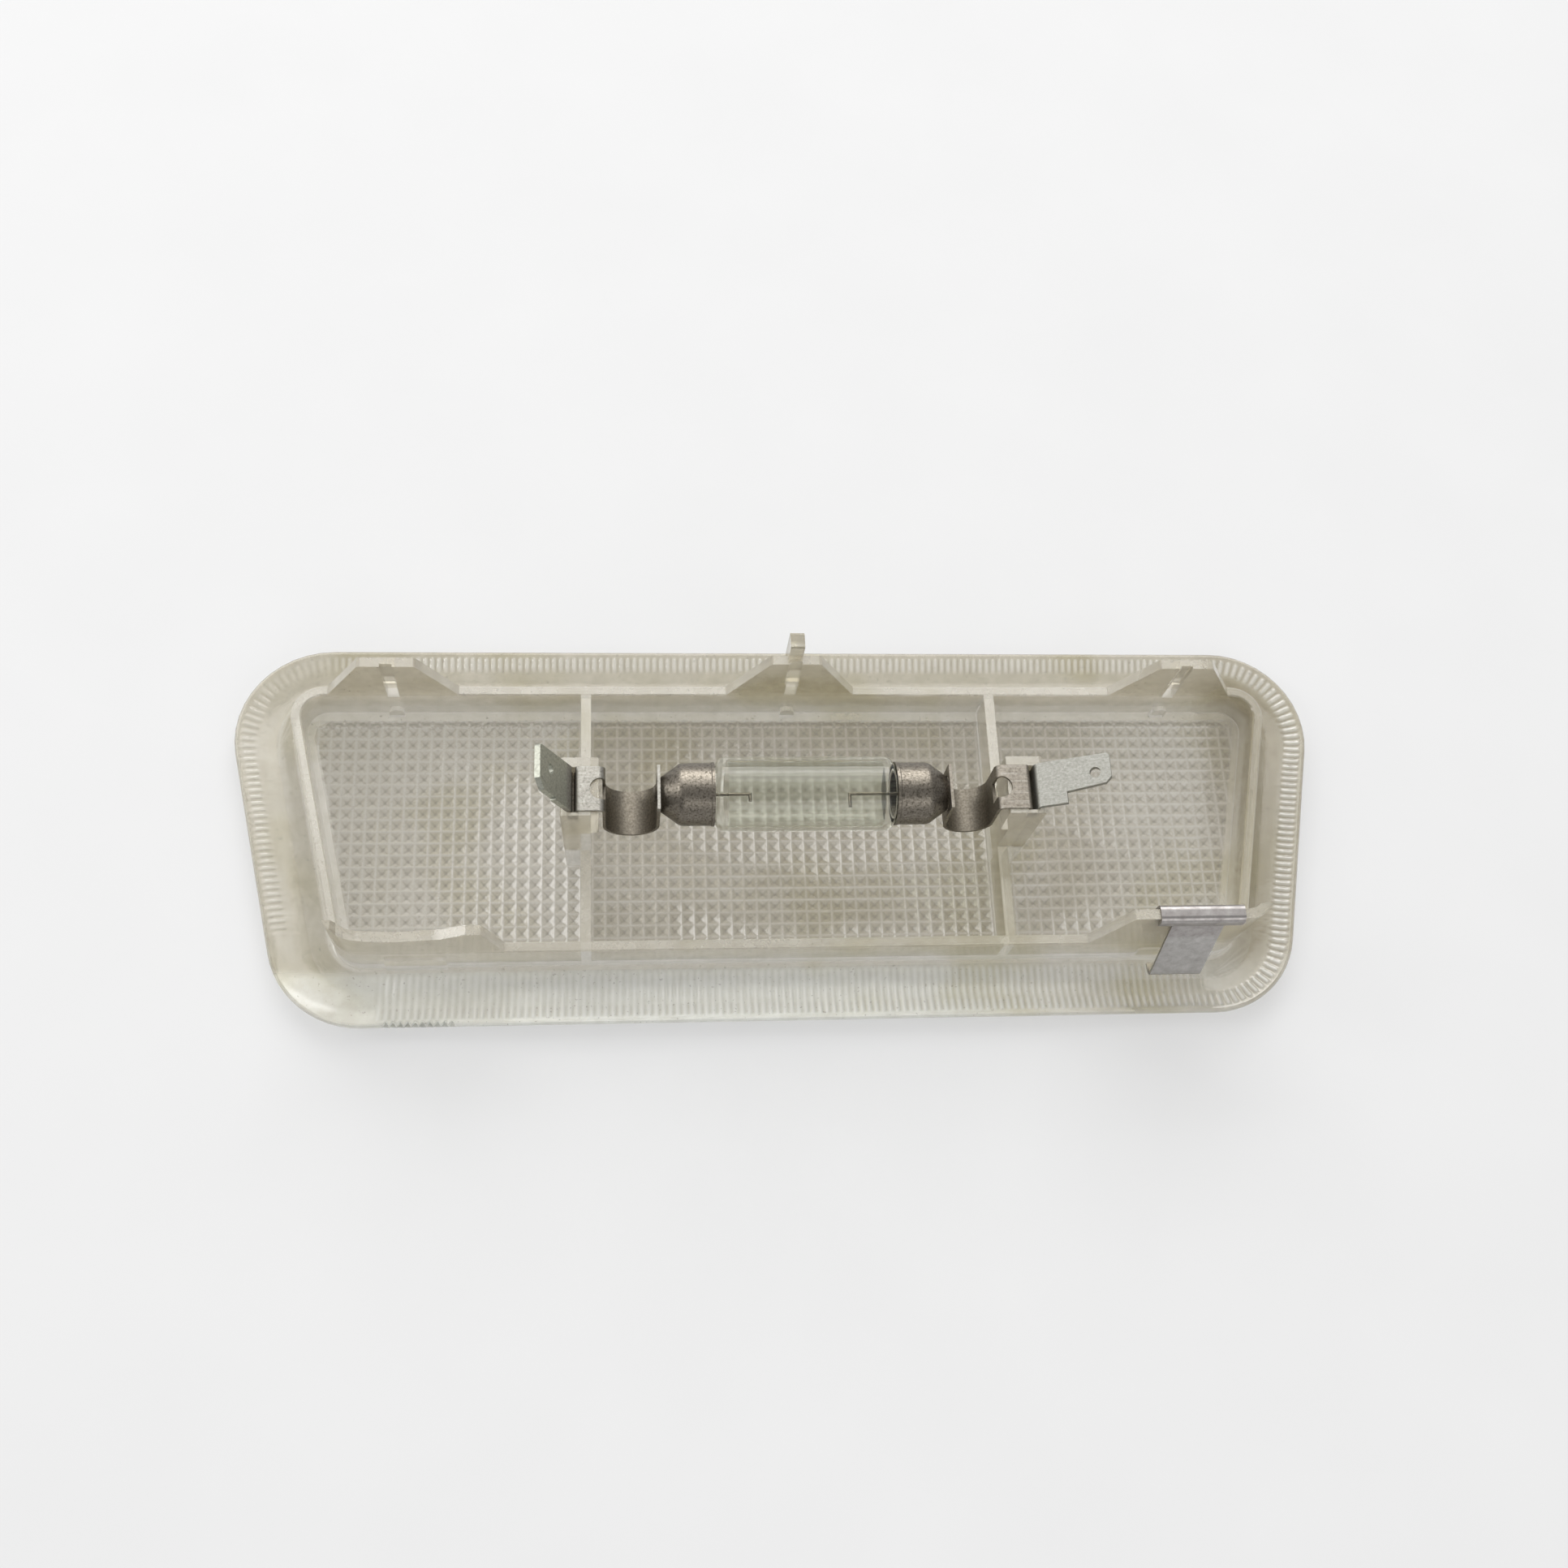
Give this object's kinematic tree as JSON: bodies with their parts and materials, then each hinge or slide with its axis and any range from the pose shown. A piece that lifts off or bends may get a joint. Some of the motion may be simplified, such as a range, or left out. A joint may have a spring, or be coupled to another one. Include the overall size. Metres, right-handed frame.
{
  "type": "car dome light",
  "caption": "Clear dished interior lamp lens with a prism panel, a festoon bulb held between two sprung contacts with terminal blades, and a spring clip on its edge tab.",
  "frame": {"origin": "middle of the lens's flat front face, on which it lies", "axes": "+X along the lens, +Y to its wider edge, +Z from the front face to the back, where the bulb is"},
  "size_m": [0.1606, 0.0568, 0.032],
  "materials": {
    "clear_plastic": "aged clear plastic, slightly yellowed and hazy",
    "contact_metal": "dull plated strip with tarnish",
    "bulb_glass": "clear thin glass",
    "cap_metal": "dull nickel plate",
    "wire_metal": "plain wire",
    "spring_steel": "smooth rolled spring steel"
  },
  "bodies": {
    "root": {"lens": "clear_plastic", "left_contact": "contact_metal", "right_contact": "contact_metal", "bulb_glass": "bulb_glass", "left_bulb_cap": "cap_metal", "right_bulb_cap": "cap_metal", "left_lead_wire": "wire_metal", "right_lead_wire": "wire_metal", "spring_clip": "spring_steel"}
  },
  "joints": []
}
